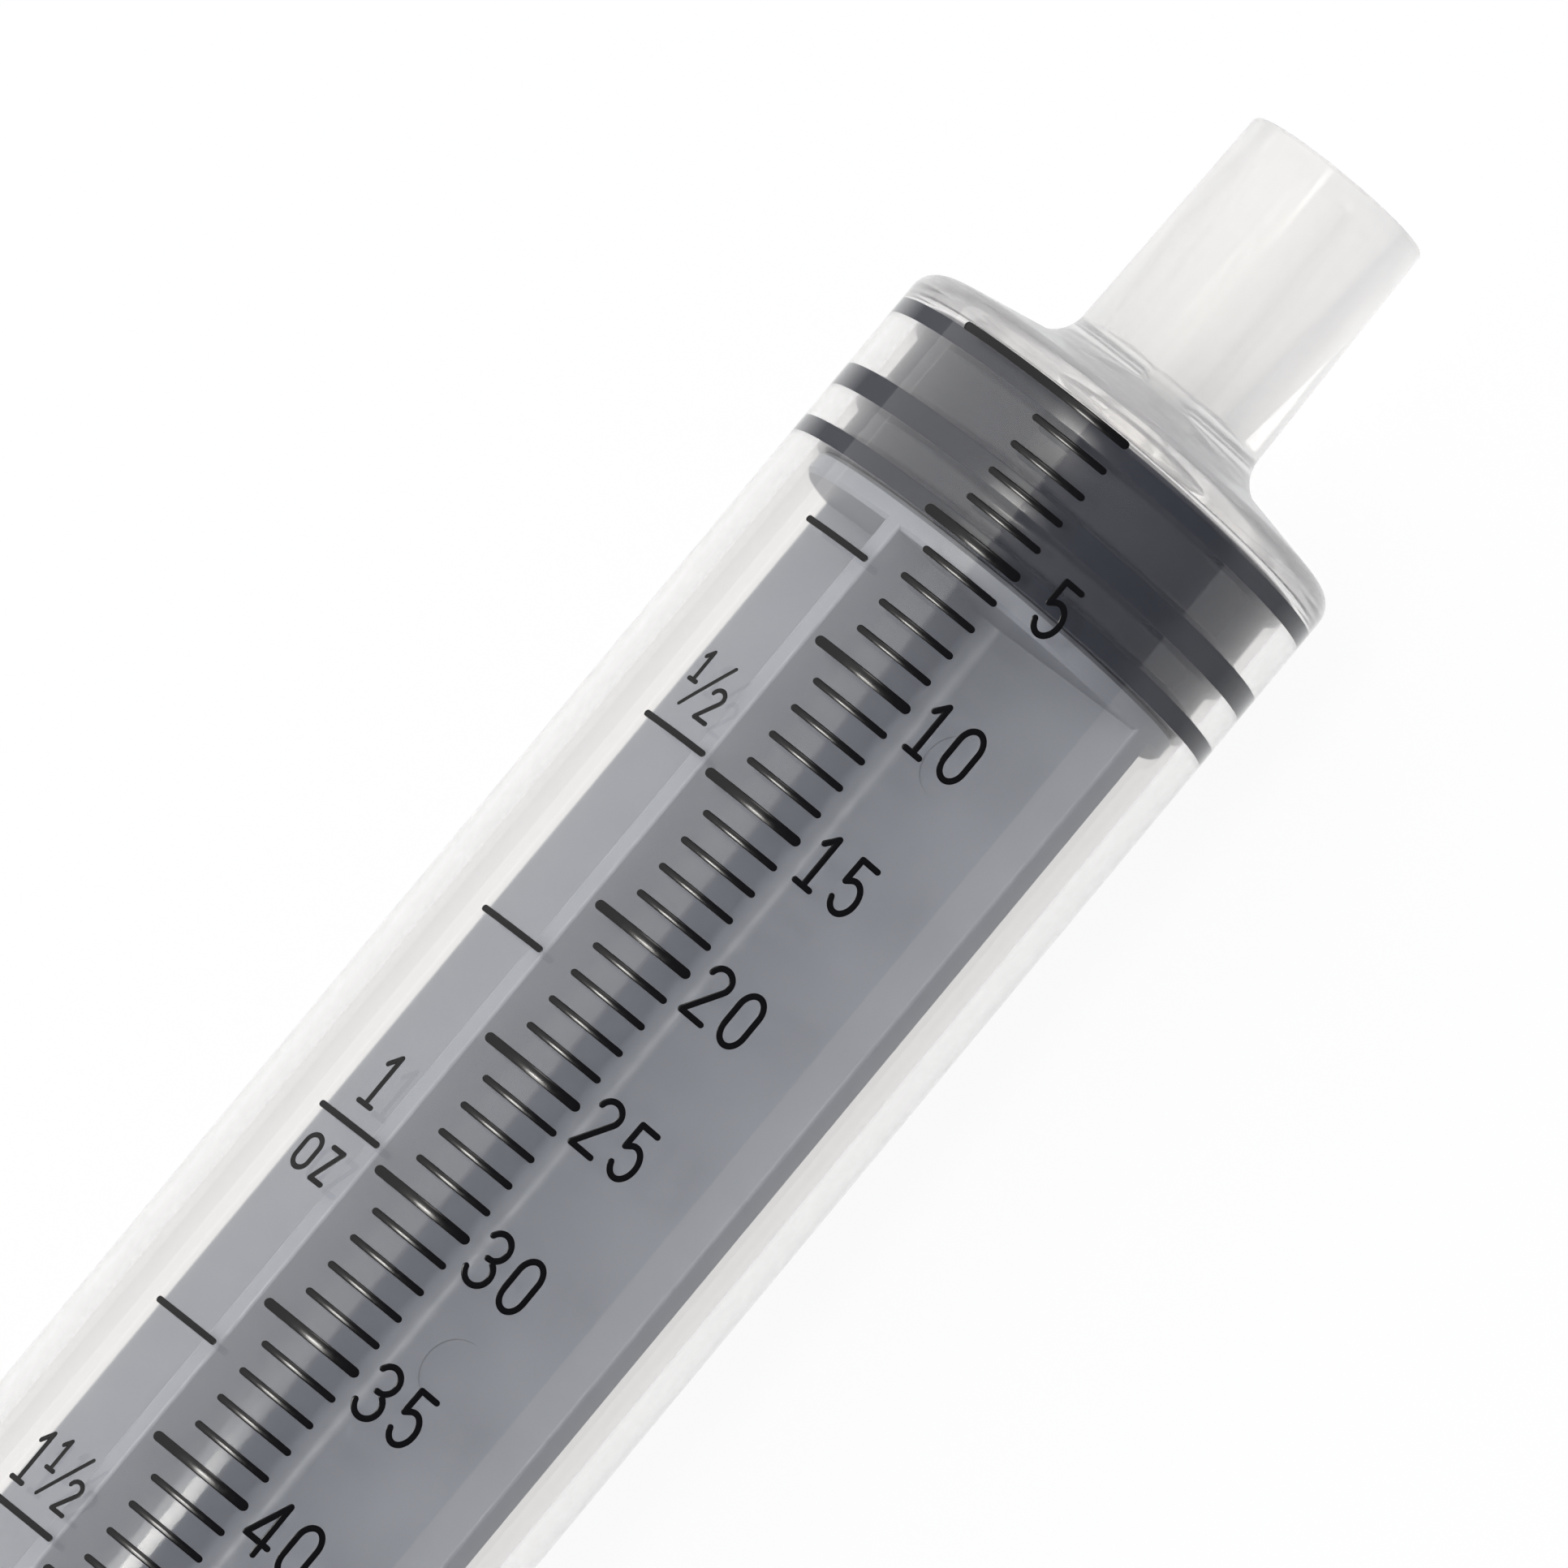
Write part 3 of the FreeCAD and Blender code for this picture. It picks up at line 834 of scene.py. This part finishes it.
def white_floor():
    """Matt white board, lit until it is plain white to the camera with a faint shadow on it. Gloss mirrors
    it as white near the object and dark further off to the sides."""
    material = bpy.data.materials.new("white_floor")
    material.cycles.emission_sampling = "NONE"
    tree = new_tree(material)
    board = add_node(tree, "ShaderNodeBsdfDiffuse", {}, {"Color": linear("#F4F4F4")})
    place = add_node(tree, "ShaderNodeTexCoord", {}, {})
    split = add_node(tree, "ShaderNodeSeparateXYZ", {}, {"Vector": place.outputs["Object"]})
    off = add_node(
        tree,
        "ShaderNodeMath",
        {"operation": "SUBTRACT"},
        {0: split.outputs["Y"], 1: NEAR_FLOOR_Y * MM},
    )
    aside = add_node(tree, "ShaderNodeMath", {"operation": "ABSOLUTE"}, {0: off.outputs[0]})
    mirrored = add_node(
        tree,
        "ShaderNodeMapRange",
        {},
        {
            "Value": aside.outputs[0],
            "From Min": NEAR_FLOOR * MM,
            "From Max": FAR_FLOOR * MM,
            "To Min": 1.0,
            "To Max": FAR_FLOOR_GLOW,
        },
    )
    path = add_node(tree, "ShaderNodeLightPath", {}, {})
    straight = add_node(
        tree,
        "ShaderNodeMath",
        {"operation": "MAXIMUM"},
        {0: path.outputs["Is Camera Ray"], 1: path.outputs["Is Transmission Ray"]},
    )
    brightness = add_node(
        tree,
        "ShaderNodeMath",
        {"operation": "MAXIMUM"},
        {0: straight.outputs[0], 1: mirrored.outputs["Result"]},
    )
    glow = add_node(
        tree,
        "ShaderNodeEmission",
        {},
        {"Color": linear("#FFFFFF"), "Strength": brightness.outputs[0]},
    )
    share = add_node(
        tree,
        "ShaderNodeMath",
        {"operation": "MULTIPLY"},
        {0: unscattered(tree), 1: FLOOR_WHITENESS},
    )
    mixed = add_node(
        tree,
        "ShaderNodeMixShader",
        {},
        {"Fac": share.outputs[0], 1: board.outputs["BSDF"], 2: glow.outputs["Emission"]},
    )
    add_node(tree, "ShaderNodeOutputMaterial", {}, {"Surface": mixed.outputs["Shader"]})
    return material


def make_floor(material):
    """The level floor that the syringe lies on."""
    half = FLOOR_HALF_SIZE * MM
    corners = [(-half, -half, 0), (half, -half, 0), (half, half, 0), (-half, half, 0)]
    mesh = bpy.data.meshes.new("floor")
    mesh.from_pydata(corners, [], [(0, 1, 2, 3)])
    mesh.materials.append(material)
    floor = bpy.data.objects.new("floor", mesh)
    bpy.context.scene.collection.objects.link(floor)


# Lamps, with an angle round the axis, a place x along it, and sizes across and along it in metres. The
# straight wall mirrors to the camera only what stands between 0.09 and 0.27 m.
LIGHT_AIM_X = 0.105
LAMPS = {
    "softbox": dict(angle=48.0, distance=0.7, x=0.09, width=1.36, length=1.0, radiance=0.86),
    "strip_lamp": dict(angle=11.5, distance=0.97, x=0.15, width=0.27, length=0.42, radiance=0.25),
    "key_lamp": dict(angle=8.0, distance=0.97, x=0.025, width=0.12, length=0.07, radiance=40.0),
    "rear_lamp": dict(angle=7.0, distance=0.97, x=-0.12, width=0.15, length=0.28, radiance=13.0),
    "front_lamp": dict(angle=7.0, distance=0.97, x=0.49, width=0.15, length=0.2, radiance=4.0),
}


def add_lamp(name, angle, distance, x, width, length, radiance):
    """A soft rectangular lamp, turned to the barrel."""
    lamp = bpy.data.lights.new(name, "AREA")
    lamp.shape = "RECTANGLE"
    lamp.size = length
    lamp.size_y = width
    lamp.energy = radiance * math.pi * width * length
    lamp.color = linear("#FFFDF8")[:3]
    turn = math.radians(angle)
    place = Vector((x, math.sin(turn) * distance, axis_z * MM + math.cos(turn) * distance))
    out = (place - Vector((LIGHT_AIM_X, 0, axis_z * MM))).normalized()
    across = out.cross(Vector((1, 0, 0))).normalized()
    facing = Matrix((across.cross(out), across, out)).transposed().to_4x4()
    holder = bpy.data.objects.new(name, lamp)
    holder.matrix_world = Matrix.Translation(place) @ facing
    holder.visible_camera = False
    bpy.context.scene.collection.objects.link(holder)


def make_lights():
    """A large pale softbox to the left of the print and a faint strip over it. Three small hot lamps stand
    clear of what the straight wall mirrors, so that they show only on rounded marks and edges."""
    for name, lamp in LAMPS.items():
        add_lamp(name, **lamp)


# Camera, as the photo shows the barrel
CAMERA_TARGET = (103.877, 2.503)
CAMERA_DISTANCE = 969.87
CAMERA_TILT = 4.18  # towards the plunger
CAMERA_SWING = 13.5  # towards the numbers
CAMERA_ROLL = 39.74
CAMERA_LENS = 404.8


def make_camera():
    """The camera, above the print and rolled so that the tip points to the upper right."""
    tilt, swing, roll = [math.radians(a) for a in (CAMERA_TILT, CAMERA_SWING, CAMERA_ROLL)]
    back = Vector((-math.sin(tilt), -math.sin(swing) * math.cos(tilt), math.cos(swing) * math.cos(tilt)))
    right = (-back).cross(Vector((1, 0, 0))).normalized()
    up = right.cross(-back)
    turned_right = math.cos(roll) * right + math.sin(roll) * up
    turned_up = math.cos(roll) * up - math.sin(roll) * right
    facing = Matrix((turned_right, turned_up, back)).transposed().to_4x4()
    target = Vector((*CAMERA_TARGET, axis_z)) * MM
    lens = bpy.data.cameras.new("camera")
    lens.lens = CAMERA_LENS
    lens.sensor_width = 36.0
    lens.clip_end = 10.0
    camera = bpy.data.objects.new("camera", lens)
    camera.matrix_world = Matrix.Translation(target + back * CAMERA_DISTANCE * MM) @ facing
    bpy.context.scene.collection.objects.link(camera)
    bpy.context.scene.camera = camera
    bpy.context.scene.view_settings.view_transform = "Standard"


def main():
    make_barrel(clear_polypropylene())
    make_stopper(grey_rubber())
    dress_rod(grey_polypropylene())
    make_print(black_ink())
    make_surround()
    make_floor(white_floor())
    make_lights()
    make_camera()


main()
